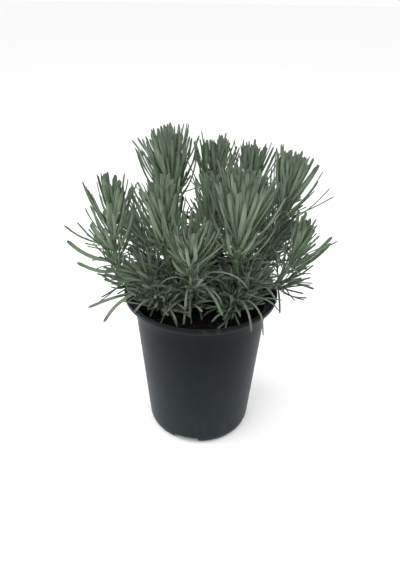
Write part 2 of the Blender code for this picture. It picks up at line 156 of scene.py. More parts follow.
# ---------------------------------------------------------------- building a material
class Look:
    """A node material in the making. Most methods add one node and return the socket with its result."""

    def __init__(self, name):
        self.material = bpy.data.materials.new(name)
        self.material.use_nodes = True
        self.nodes = self.material.node_tree.nodes
        self.links = self.material.node_tree.links
        self.shader = self.nodes["Principled BSDF"]

    def feed(self, socket, value):
        """Links a node's result to a socket, or sets the socket to a plain number or colour."""
        if isinstance(value, bpy.types.NodeSocket):
            self.links.new(value, socket)
        elif isinstance(value, tuple):
            socket.default_value = (*value, 1)
        else:
            socket.default_value = value

    def surface(self, key, value):
        """Gives one of the shader's own sockets its value."""
        self.feed(self.shader.inputs[key], value)

    def place(self):
        return self.nodes.new("ShaderNodeTexCoord").outputs["Object"]

    def height(self, place):
        node = self.nodes.new("ShaderNodeSeparateXYZ")
        self.links.new(place, node.inputs[0])
        return node.outputs["Z"]

    def stretched(self, place, scale):
        node = self.nodes.new("ShaderNodeMapping")
        node.inputs["Scale"].default_value = scale
        self.links.new(place, node.inputs["Vector"])
        return node.outputs[0]

    def attribute(self, name):
        node = self.nodes.new("ShaderNodeAttribute")
        node.attribute_name = name
        return node.outputs

    def channels(self, colour):
        node = self.nodes.new("ShaderNodeSeparateColor")
        self.links.new(colour, node.inputs[0])
        return node.outputs

    def noise(self, place, scale, detail=4.0, roughness=0.55):
        node = self.nodes.new("ShaderNodeTexNoise")
        node.inputs["Scale"].default_value = scale
        node.inputs["Detail"].default_value = detail
        node.inputs["Roughness"].default_value = roughness
        self.links.new(place, node.inputs["Vector"])
        return node.outputs["Fac"]

    def ramp(self, value, stops):
        node = self.nodes.new("ShaderNodeValToRGB")
        elements = node.color_ramp.elements
        while len(elements) < len(stops):
            elements.new(0.5)
        for element, (position, colour) in zip(elements, stops):
            element.position = position
            element.color = (*colour, 1)
        self.links.new(value, node.inputs["Fac"])
        return node.outputs["Color"]

    def mix(self, factor, first, second):
        node = self.nodes.new("ShaderNodeMix")
        node.data_type = "RGBA"
        self.feed(node.inputs[0], factor)
        self.feed(node.inputs[6], first)
        self.feed(node.inputs[7], second)
        return node.outputs[2]

    def math(self, operation, *values):
        node = self.nodes.new("ShaderNodeMath")
        node.operation = operation
        for value, socket in zip(values, node.inputs):
            self.feed(socket, value)
        return node.outputs[0]

    def remap(self, value, before, after):
        """Takes the range before to the range after, each given by its two ends."""
        node = self.nodes.new("ShaderNodeMapRange")
        self.links.new(value, node.inputs["Value"])
        for key, number in zip(("From Min", "From Max", "To Min", "To Max"), (*before, *after)):
            node.inputs[key].default_value = number
        return node.outputs["Result"]

    def bump(self, height, strength, distance, normal=None):
        node = self.nodes.new("ShaderNodeBump")
        node.inputs["Strength"].default_value = strength
        node.inputs["Distance"].default_value = distance
        self.links.new(height, node.inputs["Height"])
        if normal is not None:
            self.links.new(normal, node.inputs["Normal"])
        return node.outputs["Normal"]


# ---------------------------------------------------------------- colours
# A ramp is a list of stops, each with its place on the ramp and its colour.
POT_BLACKS = ((0.3, (0.0028, 0.0048, 0.0060)), (0.7, (0.0048, 0.0076, 0.0092)))
# Painted light: the paler colour that the pot's wall is painted towards its foot.
POT_PAINTED_LIGHT = (0.013, 0.0185, 0.0215)
POT_DUST = (0.11, 0.105, 0.095)
POT_SHEEN = (0.93, 0.96, 1.0)
SOIL_BROWNS = (
    (0.0, (0.0030, 0.0026, 0.0028)),
    (0.5, (0.0058, 0.0046, 0.0048)),
    (0.8, (0.015, 0.010, 0.0105)),
    (0.94, (0.042, 0.028, 0.027)),
    (1.0, (0.10, 0.076, 0.068)),
)
BARK_BROWNS = ((0.25, (0.045, 0.032, 0.022)), (0.5, (0.125, 0.098, 0.065)), (0.8, (0.26, 0.225, 0.165)))
BARK_GREENS = ((0.3, (0.10, 0.135, 0.07)), (0.75, (0.23, 0.28, 0.16)))
# Leaves, from the darkest to the palest, and the pale colour of their felt and midrib.
FRESH_GREENS = (
    (0.0, (0.050, 0.094, 0.048)),
    (0.35, (0.088, 0.150, 0.079)),
    (0.7, (0.130, 0.203, 0.110)),
    (1.0, (0.182, 0.255, 0.138)),
)
FRESH_PALE = (0.212, 0.28, 0.19)
OLD_GREENS = (
    (0.0, (0.018, 0.030, 0.017)),
    (0.35, (0.052, 0.080, 0.050)),
    (0.7, (0.135, 0.168, 0.125)),
    (1.0, (0.245, 0.275, 0.225)),
)
OLD_PALE = (0.20, 0.23, 0.19)
LEAF_TIP = (0.062, 0.072, 0.060)
LEAF_BASE = (0.19, 0.25, 0.13)
LEAF_HAIRS = (0.36, 0.41, 0.33)
LEAF_SHEEN = (0.86, 0.92, 0.84)

# ---------------------------------------------------------------- materials
# Streaks and fissures run up and down: the pattern is drawn out along Z by this scale.
STREAK_STRETCH = (1.0, 1.0, 0.16)
FISSURE_STRETCH = (1.0, 1.0, 0.22)
DUSTY_FOOT_HEIGHT = 0.035
DUSTY_LIP_HEIGHT = 0.012


def pot_material():
    """Black plastic: satin and finely grained, with painted light that makes it paler towards the foot, and
    with faint dust and dried splashes.
    """
    look = Look("pot_plastic")
    place = look.place()
    height = look.height(place)
    mottle = look.noise(place, scale=38.0, detail=6.0)
    grain = look.noise(place, scale=2600.0, detail=3.0)
    streak = look.noise(look.stretched(place, STREAK_STRETCH), scale=150.0, detail=7.0, roughness=0.65)
    # Painted light: the black is painted paler towards the foot.
    painted_light_share = look.remap(height, (POT_HEIGHT * 0.8, 0.0), (0.0, 1.0))
    black_with_painted_light = look.mix(painted_light_share, look.ramp(mottle, POT_BLACKS), POT_PAINTED_LIGHT)
    foot = look.remap(height, (0.0, DUSTY_FOOT_HEIGHT), (1.0, 0.0))
    lip = look.remap(height, (POT_HEIGHT - DUSTY_LIP_HEIGHT, POT_HEIGHT), (0.0, 0.8))
    dusty = look.math("MULTIPLY_ADD", look.math("MAXIMUM", foot, lip), 0.35, 0.03)
    dust = look.math("MULTIPLY", look.remap(streak, (0.56, 0.80), (0.0, 0.8)), dusty)
    look.surface("Base Color", look.mix(dust, black_with_painted_light, POT_DUST))
    rough = look.remap(mottle, (0.2, 0.8), (0.40, 0.54))
    look.surface("Roughness", look.math("MULTIPLY_ADD", dust, 0.35, rough))
    fine = look.bump(grain, strength=0.25, distance=0.00012)
    look.surface("Normal", look.bump(streak, strength=0.12, distance=0.0003, normal=fine))
    look.surface("Specular IOR Level", 0.09)
    look.surface("Sheen Weight", 0.09)
    look.surface("Sheen Roughness", 0.35)
    look.surface("Sheen Tint", POT_SHEEN)
    return look.material


def soil_material():
    """Dark moist peat: near black with reddish brown and a little grey, different from crumb to crumb."""
    look = Look("soil")
    patch = look.noise(look.place(), scale=900.0, detail=6.0, roughness=0.7)
    tone = look.math("MULTIPLY_ADD", patch, 0.45, look.attribute("tone")["Fac"])
    look.surface("Base Color", look.ramp(look.math("SUBTRACT", tone, 0.2), SOIL_BROWNS))
    look.surface("Roughness", look.remap(patch, (0.2, 0.8), (0.98, 0.7)))
    look.surface("Normal", look.bump(patch, strength=0.7, distance=0.0006))
    look.surface("Specular IOR Level", 0.15)
    return look.material


def bark_material():
    """Young bark: grey-brown and fissured along the stem, greener where it is youngest."""
    look = Look("bark")
    place = look.place()
    fissure = look.noise(look.stretched(place, FISSURE_STRETCH), scale=1500.0, detail=7.0, roughness=0.68)
    patch = look.remap(look.noise(place, scale=160.0), (0.3, 0.7), (0.7, 1.2))
    youth = look.math("MULTIPLY", look.attribute("tone")["Fac"], patch)
    wood, green = look.ramp(fissure, BARK_BROWNS), look.ramp(fissure, BARK_GREENS)
    look.surface("Base Color", look.mix(youth, wood, green))
    look.surface("Roughness", 0.85)
    look.surface("Normal", look.bump(fissure, strength=0.8, distance=0.0005))
    return look.material


def leaf_material(name, greens, pale):
    """Grey-green felted leaf: pale felt beneath, a pale midrib, a dull tip and each leaf's tone, which holds
    painted shade on the free leaves and on the low shoots.

    The attribute leaf holds a leaf's tone, the place along it, the place across it, and 1 on its underside.
    """
    look = Look(name)
    place = look.place()
    leaf = look.attribute("leaf")
    tone, along, across = look.channels(leaf["Color"])
    felt = look.noise(place, scale=5200.0, detail=2.0)
    blotch = look.noise(place, scale=420.0, roughness=0.6)
    shade = look.math("SUBTRACT", look.math("MULTIPLY_ADD", blotch, 0.30, tone), 0.15)
    midrib = look.remap(across, (0.0, 0.16), (0.45, 0.0))
    above = look.mix(midrib, look.ramp(shade, greens), pale)
    under = look.remap(leaf["Alpha"], (0.4, 0.6), (0.0, 0.55))
    blade = look.mix(under, above, pale)
    tip = look.remap(along, (0.80, 1.0), (0.0, 0.75))
    base = look.remap(along, (0.0, 0.22), (0.35, 0.0))
    bare = look.mix(base, look.mix(tip, blade, LEAF_TIP), LEAF_BASE)
    hairs = look.remap(felt, (0.35, 0.7), (0.0, 0.16))
    look.surface("Base Color", look.mix(hairs, bare, LEAF_HAIRS))
    look.surface("Roughness", look.remap(blotch, (0.3, 0.7), (0.62, 0.80)))
    look.surface("Normal", look.bump(felt, strength=0.35, distance=0.00015))
    look.surface("Sheen Weight", 0.2)
    look.surface("Sheen Roughness", 0.45)
    look.surface("Sheen Tint", LEAF_SHEEN)
    look.surface("Specular IOR Level", 0.3)
    return look.material


# ---------------------------------------------------------------- mesh helpers
# Edges that are sharper than this stay sharp.
SMOOTH_DEG = 60


def make_piece(name, builder, attribute, material, replaced, smooth_deg=SMOOTH_DEG):
    """A finished piece from a builder, with the attribute that its material reads."""
    mesh = bpy.data.meshes.new(name)
    mesh.from_pydata(builder.points, [], builder.faces)
    mesh.validate()
    values = np.asarray(builder.rows, np.float32)
    kind, field = ("FLOAT_COLOR", "color") if values.ndim == 2 else ("FLOAT", "value")
    mesh.attributes.new(attribute, kind, "POINT").data.foreach_set(field, values.ravel())
    mesh.materials.append(material)
    mesh.shade_smooth()
    mesh.set_sharp_from_angle(angle=math.radians(smooth_deg))
    piece = bpy.data.objects.new(name, mesh)
    bpy.context.scene.collection.objects.link(piece)
    finish_piece(piece, replaced)


def finish_piece(piece, replaced):
    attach(piece, "root")
    if replaced:
        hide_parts(*replaced)


class Builder:
    """Collects many swept shapes into one mesh, with one attribute row for each point."""

    def __init__(self):
        self.points = []
        self.faces = []
        self.rows = []

    def loft(self, rings, rows):
        """Joins rings of equal length, caps both ends, and keeps the rows of values for their points."""
        start = len(self.points)
        sides = len(rings[0])
        for ring, row in zip(rings, rows):
            self.points.extend(ring)
            self.rows.extend(row)
        for level in range(len(rings) - 1):
            low = start + level * sides
            high = low + sides
            for side in range(sides):
                after = (side + 1) % sides
                self.faces.append((low + side, low + after, high + after, high + side))
        self.faces.append(tuple(start + side for side in reversed(range(sides))))
        last = start + (len(rings) - 1) * sides
        self.faces.append(tuple(last + side for side in range(sides)))


SIDEWAYS = np.array([1.0, 0.0, 0.0])
BACKWARDS = np.array([0.0, 1.0, 0.01])
UPRIGHT = np.array([0.0, 0.0, 1.0])


def unit(vector):
    return vector / max(1e-12, float(np.linalg.norm(vector)))


def transported(path, first_side):
    """Side vectors carried along a path without twist, starting from first_side."""
    tangents = np.gradient(path, axis=0)
    tangents /= np.linalg.norm(tangents, axis=1)[:, None]
    sides = []
    side = first_side
    for tangent in tangents:
        side = unit(side - tangent * float(np.dot(side, tangent)))
        sides.append(side)
    return tangents, np.array(sides)


CURVE_STEPS = 12


def smooth_path(knots, count):
    """A smooth curve through a few points, evenly sampled along its length."""
    knots = np.asarray(knots, float)
    ends = [2 * knots[0] - knots[1], *knots, 2 * knots[-1] - knots[-2]]
    fine = []
    for a, b, c, d in zip(ends, ends[1:], ends[2:], ends[3:]):
        square, cube = 2 * a - 5 * b + 4 * c - d, 3 * b - a - 3 * c + d
        for t in np.linspace(0, 1, CURVE_STEPS, endpoint=False):
            fine.append(0.5 * (2 * b + (c - a) * t + square * t**2 + cube * t**3))
    fine.append(knots[-1])
    fine = np.array(fine)
    lengths = np.concatenate([[0], np.cumsum(np.linalg.norm(np.diff(fine, axis=0), axis=1))])
    wanted = np.linspace(0, lengths[-1], count)
    return np.stack([np.interp(wanted, lengths, fine[:, axis]) for axis in range(3)], axis=1)


# ---------------------------------------------------------------- lines read from the frame
# A CAD stem or leaf is a row of rings. Edges shorter than this join the points of one ring.
RING_EDGE = 0.0034
WELD_DIGITS = 5
# A CAD leaf has this many rings, the foot of the leaf on the stem among them, with this many points in each.
LEAF_RINGS = 4
LEAF_RING_POINTS = 4


def welded(node):
    """The distinct points of a CAD node and the edges between them."""
    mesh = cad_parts[node].data
    co = np.empty(len(mesh.vertices) * 3)
    mesh.vertices.foreach_get("co", co)
    points, index = np.unique(np.round(co.reshape(-1, 3), WELD_DIGITS), axis=0, return_inverse=True)
    index = index.reshape(-1)
    edges = set()
    for polygon in mesh.polygons:
        corners = [int(index[v]) for v in polygon.vertices]
        for a, b in zip(corners, corners[1:] + corners[:1]):
            if a != b:
                edges.add((min(a, b), max(a, b)))
    return points, edges


def rings_of(node):
    """Groups the points that short edges join. Returns the points, the groups and which groups touch."""
    points, edges = welded(node)
    parent = list(range(len(points)))

    def root(item):
        while parent[item] != item:
            item = parent[item]
        return item

    for a, b in edges:
        if np.linalg.norm(points[a] - points[b]) < RING_EDGE:
            parent[root(a)] = root(b)
    label = [root(item) for item in range(len(points))]
    groups = defaultdict(list)
    for item, name in enumerate(label):
        groups[name].append(item)
    touching = defaultdict(lambda: defaultdict(set))
    for a, b in edges:
        if label[a] != label[b]:
            touching[label[a]][label[b]].add(b)
            touching[label[b]][label[a]].add(a)
    return points, groups, touching


def stem_line(node):
    """Centre points of a woody stem's rings, from the ground up."""
    points, groups, _ = rings_of(node)
    centres = [points[members].mean(axis=0) for members in groups.values()]
    return sorted(centres, key=lambda centre: centre[2])


def leaf_lines(node):
    """The middle line of each leaf of a CAD shoot, from its base on the stem to its tip."""
    points, groups, touching = rings_of(node)
    lines = []
    for name, members in groups.items():
        if len(members) != LEAF_RING_POINTS or len(touching[name]) != 1:
            continue
        line = [points[members].mean(axis=0)]
        before, here = None, name
        while True:
            onward = [other for other in touching[here] if other != before]
            if len(onward) != 1:
                break
            following = onward[0]
            if len(groups[following]) != LEAF_RING_POINTS:
                line.append(points[list(touching[here][following])].mean(axis=0))
                break
            line.append(points[groups[following]].mean(axis=0))
            before, here = here, following
        if len(line) == LEAF_RINGS:
            lines.append(line[::-1])
    return lines


AXIS_SAMPLES = 24
# A shoot with more leaves than this can follow a curve with one more bend.
MANY_LEAVES = 12
# How much more than a leaf base the top of the woody stem counts in the fit.
START_WEIGHT = 6.0


def shoot_axis(stem, leaves):
    """The middle line of a leafy shoot, from the top of its woody stem through its leaf bases."""
    start = stem[-1]
    bases = np.array([leaf[0] for leaf in leaves])
    heading = unit(bases.mean(axis=0) - start)
    along = (bases - start) @ heading
    degree = 3 if len(bases) > MANY_LEAVES else 2
    weights = np.append(np.ones(len(bases)), START_WEIGHT)
    steps = np.linspace(0, along.max(), AXIS_SAMPLES)
    fitted = []
    for axis in range(3):
        places = np.append(bases[:, axis], start[axis])
        line = np.polyfit(np.append(along, 0.0), places, degree, w=weights)
        fitted.append(np.polyval(line, steps))
    return np.stack(fitted, axis=1)


# ---------------------------------------------------------------- pot
LIP_EDGE = 0.0012
NOTCH_OVERSHOOT = 0.01
POT_SMOOTH_DEG = 40


def foot_arc(inset, lowest, steps):
    """The rounded foot as points (radius, height), from the flat underside up to the wall."""
    points = []
    for step in range(steps + 1):
        turn = math.radians(90.0 * step / steps)
        radius = FOOT_RADIUS + (WALL_FOOT_RADIUS - FOOT_RADIUS) * math.sin(turn)
        height = lowest + (FOOT_ROUND - lowest) * (1 - math.cos(turn))
        points.append((radius - inset, height))
    return points


def pot_profile():
    """The pot's section: floor, rounded foot, tapered wall, flare, turned-down lip and back inside."""
    flare_z = POT_HEIGHT - FLARE_HEIGHT
    skirt_z = POT_HEIGHT - LIP_SKIRT
    outer = [(0, 0), (0.02, 0), (FOOT_RADIUS - 0.004, 0)] + foot_arc(0, 0, 8)
    for share in np.linspace(0, 1, 13)[1:]:
        radius = WALL_FOOT_RADIUS + (WALL_TOP_RADIUS - WALL_FOOT_RADIUS) * share
        outer.append((radius, FOOT_ROUND + (flare_z - FOOT_ROUND) * share))
    outer += [(WALL_TOP_RADIUS + 0.0009, flare_z + 0.0024), (WALL_TOP_RADIUS + 0.0024, flare_z + 0.0045)]
    outer += [(LIP_RADIUS - 0.0046, POT_HEIGHT - 0.0034), (LIP_RADIUS - 0.0032, POT_HEIGHT - 0.0024)]
    outer += [(LIP_RADIUS - 0.0018, POT_HEIGHT - 0.0022), (LIP_RADIUS - 0.0016, skirt_z + 0.0003)]
    outer += [(LIP_RADIUS - 0.0013, skirt_z), (LIP_RADIUS - 0.0006, skirt_z)]
    outer += [(LIP_RADIUS - 0.0003, skirt_z + 0.0003)]
    lip = []
    for step in range(7):
        turn = math.radians(90.0 * step / 6)
        radius = LIP_RADIUS - LIP_EDGE + LIP_EDGE * math.cos(turn)
        lip.append((radius, POT_HEIGHT - LIP_EDGE + LIP_EDGE * math.sin(turn)))
    inner = [(LIP_RADIUS - 0.0026, POT_HEIGHT - 0.0003), (LIP_RADIUS - 0.0036, POT_HEIGHT - 0.0011)]
    inner += [(WALL_TOP_RADIUS + 0.0016, flare_z + 0.0065), (WALL_TOP_RADIUS, flare_z + 0.0035)]
    inner += [(WALL_TOP_RADIUS - WALL, flare_z)]
    for share in np.linspace(1, 0, 9)[1:]:
        radius = WALL_FOOT_RADIUS + (WALL_TOP_RADIUS - WALL_FOOT_RADIUS) * share - WALL
        inner.append((radius, FOOT_ROUND + (flare_z - FOOT_ROUND) * share))
    inner += foot_arc(WALL, FLOOR, 6)[::-1][1:] + [(0, FLOOR)]
    return outer + lip + inner


def make_pot(material):
    """The pot, turned from its section and very slightly out of round, with drain notches cut in its foot."""
    bm = bmesh.new()
    rings = []
    for radius, height in pot_profile():
        if radius == 0:
            rings.append([bm.verts.new((0, 0, height))])
            continue
        ring = []
        for step in range(POT_SEGMENTS):
            turn = math.tau * step / POT_SEGMENTS
            wide = radius * (1 + POT_WOBBLE * math.sin(2 * turn + 0.7) * height / POT_HEIGHT)
            ring.append(bm.verts.new((wide * math.cos(turn), wide * math.sin(turn), height)))
        rings.append(ring)
    for low, high in zip(rings, rings[1:]):
        for step in range(POT_SEGMENTS):
            corners = [low[step % len(low)], low[(step + 1) % len(low)]]
            corners += [high[(step + 1) % len(high)], high[step % len(high)]]
            bm.faces.new(list(dict.fromkeys(corners)))
    bmesh.ops.recalc_face_normals(bm, faces=bm.faces)
    mesh = bpy.data.meshes.new("nursery_pot")
    bm.to_mesh(mesh)
    bm.free()
    mesh.materials.append(material)
    pot = bpy.data.objects.new("nursery_pot", mesh)
    bpy.context.scene.collection.objects.link(pot)
    cutters = [make_notch_cutter(number) for number in range(NOTCH_COUNT)]
    for cutter in cutters:
        modifier = pot.modifiers.new(cutter.name, "BOOLEAN")
        modifier.operation = "DIFFERENCE"
        modifier.object = cutter
    graph = bpy.context.evaluated_depsgraph_get()
    cut_mesh = bpy.data.meshes.new_from_object(pot.evaluated_get(graph))
    pot.modifiers.clear()
    pot.data = cut_mesh
    for cutter in cutters:
        bpy.data.objects.remove(cutter, do_unlink=True)
    cut_mesh.shade_smooth()
    cut_mesh.set_sharp_from_angle(angle=math.radians(POT_SMOOTH_DEG))
    finish_piece(pot, ["pot"])


def make_notch_cutter(number):
    """A block with rounded top corners that opens one drain notch in the pot's foot."""
    depth = WALL_FOOT_RADIUS + NOTCH_OVERSHOOT - NOTCH_REACH
    bm = bmesh.new()
    bmesh.ops.create_cube(bm, size=1.0)
    bmesh.ops.scale(bm, vec=(depth, NOTCH_WIDTH, 2 * NOTCH_HEIGHT), verts=bm.verts)
    long_edges = [e for e in bm.edges if abs((e.verts[0].co - e.verts[1].co).x) > 0.5 * depth]
    bmesh.ops.bevel(bm, geom=long_edges, offset=NOTCH_CORNER, segments=6, affect="EDGES", profile=0.5)
    turn = Matrix.Rotation(math.radians(NOTCH_FIRST_DEG + 360.0 * number / NOTCH_COUNT), 4, "Z")
    moved = turn @ Matrix.Translation((NOTCH_REACH + depth / 2, 0, 0))
    bmesh.ops.transform(bm, matrix=moved, verts=bm.verts)
    bmesh.ops.recalc_face_normals(bm, faces=bm.faces)
    mesh = bpy.data.meshes.new("notch_cutter")
    bm.to_mesh(mesh)
    bm.free()
    cutter = bpy.data.objects.new(f"notch_cutter_{number}", mesh)
    bpy.context.scene.collection.objects.link(cutter)
    return cutter


# ---------------------------------------------------------------- soil
def wall_radius(z):
    """Inner radius of the pot at height z, below the flare."""
    share = (min(z, POT_HEIGHT - FLARE_HEIGHT) - FOOT_ROUND) / (POT_HEIGHT - FLARE_HEIGHT - FOOT_ROUND)
    return WALL_FOOT_RADIUS + (WALL_TOP_RADIUS - WALL_FOOT_RADIUS) * max(0.0, share) - WALL


SOIL_RADIUS = wall_radius(SOIL_MIDDLE_Z - SOIL_HEAP) - SOIL_GAP
SOIL_SEGMENTS = 120
SOIL_RINGS = 46
SOIL_TONE = 0.35
# The lumpy top lies this far under the CAD soil's top, so that the crumbs on it stay level with it.
SOIL_SUNK = 0.0014
# Lumps of two sizes: height, lumps in a metre, and a place of their own in the noise.
SOIL_LUMPS = ((0.0011, 90, 3.1), (0.0006, 260, 8.7))
CRUMBS = 5200
CRUMB_SPREAD = 0.985
CRUMB_LEAST = 0.00035
CRUMB_RANGE = 0.0011
CRUMB_FINENESS = 2.4
CHIP_SHARE = 0.22
CHIP_STRETCH = ((1.4, 2.8), (0.7, 1.1), (0.25, 0.5))
LUMP_STRETCH = ((0.8, 1.25), (0.8, 1.25), (0.6, 1.0))


def soil_z(x, y):
    """Height of the lumpy soil at a place."""
    share = min(1.0, math.hypot(x, y) / SOIL_RADIUS)
    rough = sum(height * noise.noise((x * often, y * often, level)) for height, often, level in SOIL_LUMPS)
    return SOIL_MIDDLE_Z - SOIL_HEAP * share**2 - SOIL_SUNK + rough


def soil_circle(radius, height):
    turns = [math.tau * step / SOIL_SEGMENTS for step in range(SOIL_SEGMENTS)]
    return [(radius * math.cos(turn), radius * math.sin(turn), height) for turn in turns]


def make_soil(material):
    """The soil body with a lumpy top, and thousands of crumbs and bark chips lying on it."""
    dice = random.Random(SEED + 1)
    builder = Builder()
    lowest = FLOOR + SOIL_GAP
    rings = [soil_circle(0.001, lowest)]
    rings += [soil_circle(radius, height) for radius, height in foot_arc(WALL + SOIL_GAP, lowest, 4)]
    for share in np.linspace(1.0, 0.02, SOIL_RINGS):
        rings.append([(x, y, soil_z(x, y)) for x, y, _ in soil_circle(SOIL_RADIUS * share, 0)])
    builder.loft(rings, [[SOIL_TONE] * SOIL_SEGMENTS for _ in rings])
    crumb = crumb_shape()
    for _ in range(CRUMBS):
        radius = SOIL_RADIUS * CRUMB_SPREAD * math.sqrt(dice.random())
        turn = dice.uniform(0, math.tau)
        x, y = radius * math.cos(turn), radius * math.sin(turn)
        size = CRUMB_LEAST + CRUMB_RANGE * dice.random() ** CRUMB_FINENESS
        add_crumb(builder, dice, crumb, Vector((x, y, soil_z(x, y) + size * 0.25)), size)
    make_piece("potting_soil_bed", builder, "tone", material, ["potting_soil"])


def crumb_shape():
    """Points and faces of a small round lump."""
    bm = bmesh.new()
    bmesh.ops.create_icosphere(bm, subdivisions=1, radius=1.0)
    points = [vert.co.copy() for vert in bm.verts]
    faces = [tuple(vert.index for vert in face.verts) for face in bm.faces]
    bm.free()
    return points, faces


def add_crumb(builder, dice, crumb, middle, size):
    """One lump of peat or a flat chip of bark, turned at random."""
    chip = dice.random() < CHIP_SHARE
    stretch = [dice.uniform(low, high) for low, high in (CHIP_STRETCH if chip else LUMP_STRETCH)]
    tilt = 0.5 if chip else 3.0
    turn = Matrix.Rotation(dice.uniform(-tilt, tilt), 3, "X")
    turn = turn @ Matrix.Rotation(dice.uniform(0, math.tau), 3, "Z")
    start = len(builder.points)
    tone = dice.random() ** 1.6 * (1.0 if chip else 0.8)
    points, faces = crumb
    for point in points:
        lumpy = point * dice.uniform(0.75, 1.2)
        stretched = Vector([part * factor for part, factor in zip(lumpy, stretch)])
        builder.points.append(tuple(turn @ stretched * size + middle))
        builder.rows.append(tone)
    builder.faces.extend(tuple(start + index for index in face) for face in faces)


# ---------------------------------------------------------------- stems
STEM_STEP = 0.0012
STEM_LEAST_STEPS = 10
STEM_SIDES = 14
STEM_FOOT_RADIUS = 0.0023
STEM_TOP_RADIUS = 0.0016
# The stem between its knots is a little thinner than the CAD stem.
STEM_SLIM = 0.94
KNOTS = 5.2
KNOT_HEIGHT = 0.00035
KNOT_SPREAD = 0.11
RIDGES = 5
RIDGE_HEIGHT = 0.00016
BARK_ROUGHNESS = 0.00022
BARK_SMOOTH_DEG = 50


def make_stem(name, line, material):
    """A woody stem: ridged and rough, with swollen knots."""
    dice = random.Random(f"{SEED}{name}")
    count = max(STEM_LEAST_STEPS, int(np.linalg.norm(line[-1] - line[0]) / STEM_STEP))
    path = smooth_path(line, count)
    tangents, sides = transported(path, SIDEWAYS)
    builder = Builder()
    rings, rows = [], []
    phase = dice.uniform(0, 100)
    for index, (point, side, tangent) in enumerate(zip(path, sides, tangents)):
        share = index / (count - 1)
        other = np.cross(tangent, side)
        radius = STEM_FOOT_RADIUS + (STEM_TOP_RADIUS - STEM_FOOT_RADIUS) * share
        from_knot = (share * KNOTS + phase) % 1.0 - 0.5
        knot = KNOT_HEIGHT * math.exp(-((from_knot / KNOT_SPREAD) ** 2))
        ring = []
        for step in range(STEM_SIDES):
            turn = math.tau * step / STEM_SIDES
            spot = (math.cos(turn) * 1.5, math.sin(turn) * 1.5, share * 30 + phase)
            ridge = RIDGE_HEIGHT * math.sin(RIDGES * turn + 3 * share) + BARK_ROUGHNESS * noise.noise(spot)
            outward = side * math.cos(turn) + other * math.sin(turn)
            ring.append(tuple(point + outward * (radius * STEM_SLIM + knot + ridge)))
        rings.append(ring)
        rows.append([max(0.0, share * 1.5 - 0.1)] * STEM_SIDES)
    builder.loft(rings, rows)
    replaced = [f"stem_{name}"]
    make_piece(f"woody_stem_{name}", builder, "tone", material, replaced, BARK_SMOOTH_DEG)


# ---------------------------------------------------------------- leaves
LEAF_WIDTH = 0.0025
LEAF_THICKNESS = 0.0009
# Stations along a leaf, closer together towards its tip.
LEAF_ALONG = (0.0, 0.09, 0.2, 0.32, 0.44, 0.56, 0.68, 0.79, 0.87, 0.925, 0.96, 0.985, 1.0)
LEAF_SAMPLES = 40
LEAF_TWIST = 0.5
LEAF_WAVER = 0.0011
# The leaf's section: a shallow groove over the midrib, rolled margins and a keel beneath.
LEAF_SECTION = (
    (-1.0, -0.10), (-0.80, 0.30), (-0.42, 0.42), (0.0, 0.16), (0.42, 0.42), (0.80, 0.30),
    (1.0, -0.10), (0.72, -0.42), (0.30, -0.22), (0.0, -0.62), (-0.30, -0.22), (-0.72, -0.42),
)
# The last point of the section that is on the leaf's upper side.
LAST_ABOVE = 6
# How far a leaf's middle line keeps from the pot's lip, the pot's wall and the soil.
LIP_CLEARANCE = 0.0015
WALL_CLEARANCE = 0.002
SOIL_CLEARANCE = 0.0012
ROOM_SAMPLES = 12


def leaf_width(along):
    """Share of a leaf's full width along it: a narrow base, parallel sides and a round tip."""
    base = 0.55 + 0.45 * min(1.0, along / 0.35) ** 0.8
    tip = math.sqrt(max(0.06, 1 - max(0.0, (along - 0.92) / 0.08) ** 2))
    return base * tip


def add_leaf(builder, dice, knots, across, width, tone):
    """Grows one leaf along a few points, with a little twist and waver of its own."""
    fine = smooth_path(knots, LEAF_SAMPLES)
    shares = np.linspace(0, 1, LEAF_SAMPLES)
    path = np.stack([np.interp(LEAF_ALONG, shares, fine[:, axis]) for axis in range(3)], axis=1)
    tangents, sides = transported(path, across)
    twist = dice.uniform(-LEAF_TWIST, LEAF_TWIST)
    waver = dice.uniform(-LEAF_WAVER, LEAF_WAVER)
    rings, rows = [], []
    for along, point, tangent, side in zip(LEAF_ALONG, path, tangents, sides):
        turned = twist * along
        up = np.cross(tangent, side)
        side = side * math.cos(turned) + up * math.sin(turned)
        up = np.cross(tangent, side)
        middle = point + side * waver * math.sin(math.pi * along * 1.4)
        half = leaf_width(along) * width / 2
        thick = LEAF_THICKNESS * (0.5 + 0.5 * leaf_width(along))
        ring, row = [], []
        for number, (x, z) in enumerate(LEAF_SECTION):
            ring.append(tuple(middle + side * x * half + up * z * thick))
            row.append((tone, along, abs(x), 1.0 if number > LAST_ABOVE else 0.0))
        rings.append(ring)
        rows.append(row)
    builder.loft(rings, rows)


def arc_knots(base, axis, outward, opening, curl, length, steps=5):
    """Points of a leaf that leaves the axis at opening degrees and turns by curl degrees on its way."""
    knots = [base]
    for index in range(steps):
        angle = math.radians(opening + curl * (index + 0.5) / steps)
        knots.append(knots[-1] + (axis * math.cos(angle) + outward * math.sin(angle)) * length / steps)
    return knots


def has_room(knots):
    """True if a leaf's line stays clear of the pot and of the soil."""
    for point in smooth_path(knots, ROOM_SAMPLES)[1:]:
        radius = math.hypot(point[0], point[1])
        if point[2] > POT_HEIGHT + LIP_CLEARANCE or radius > LIP_RADIUS + LIP_CLEARANCE:
            continue
        if radius > wall_radius(point[2]) - WALL_CLEARANCE:
            return False
        if point[2] < soil_z(point[0], point[1]) + SOIL_CLEARANCE:
            return False
    return True


def perpendicular(axis, turn):
    """A unit vector across axis, turned about it."""
    side = unit(np.cross(axis, BACKWARDS))
    other = np.cross(axis, side)
    return side * math.cos(turn) + other * math.sin(turn)


def path_length(path):
    return float(sum(np.linalg.norm(b - a) for a, b in zip(path, path[1:])))


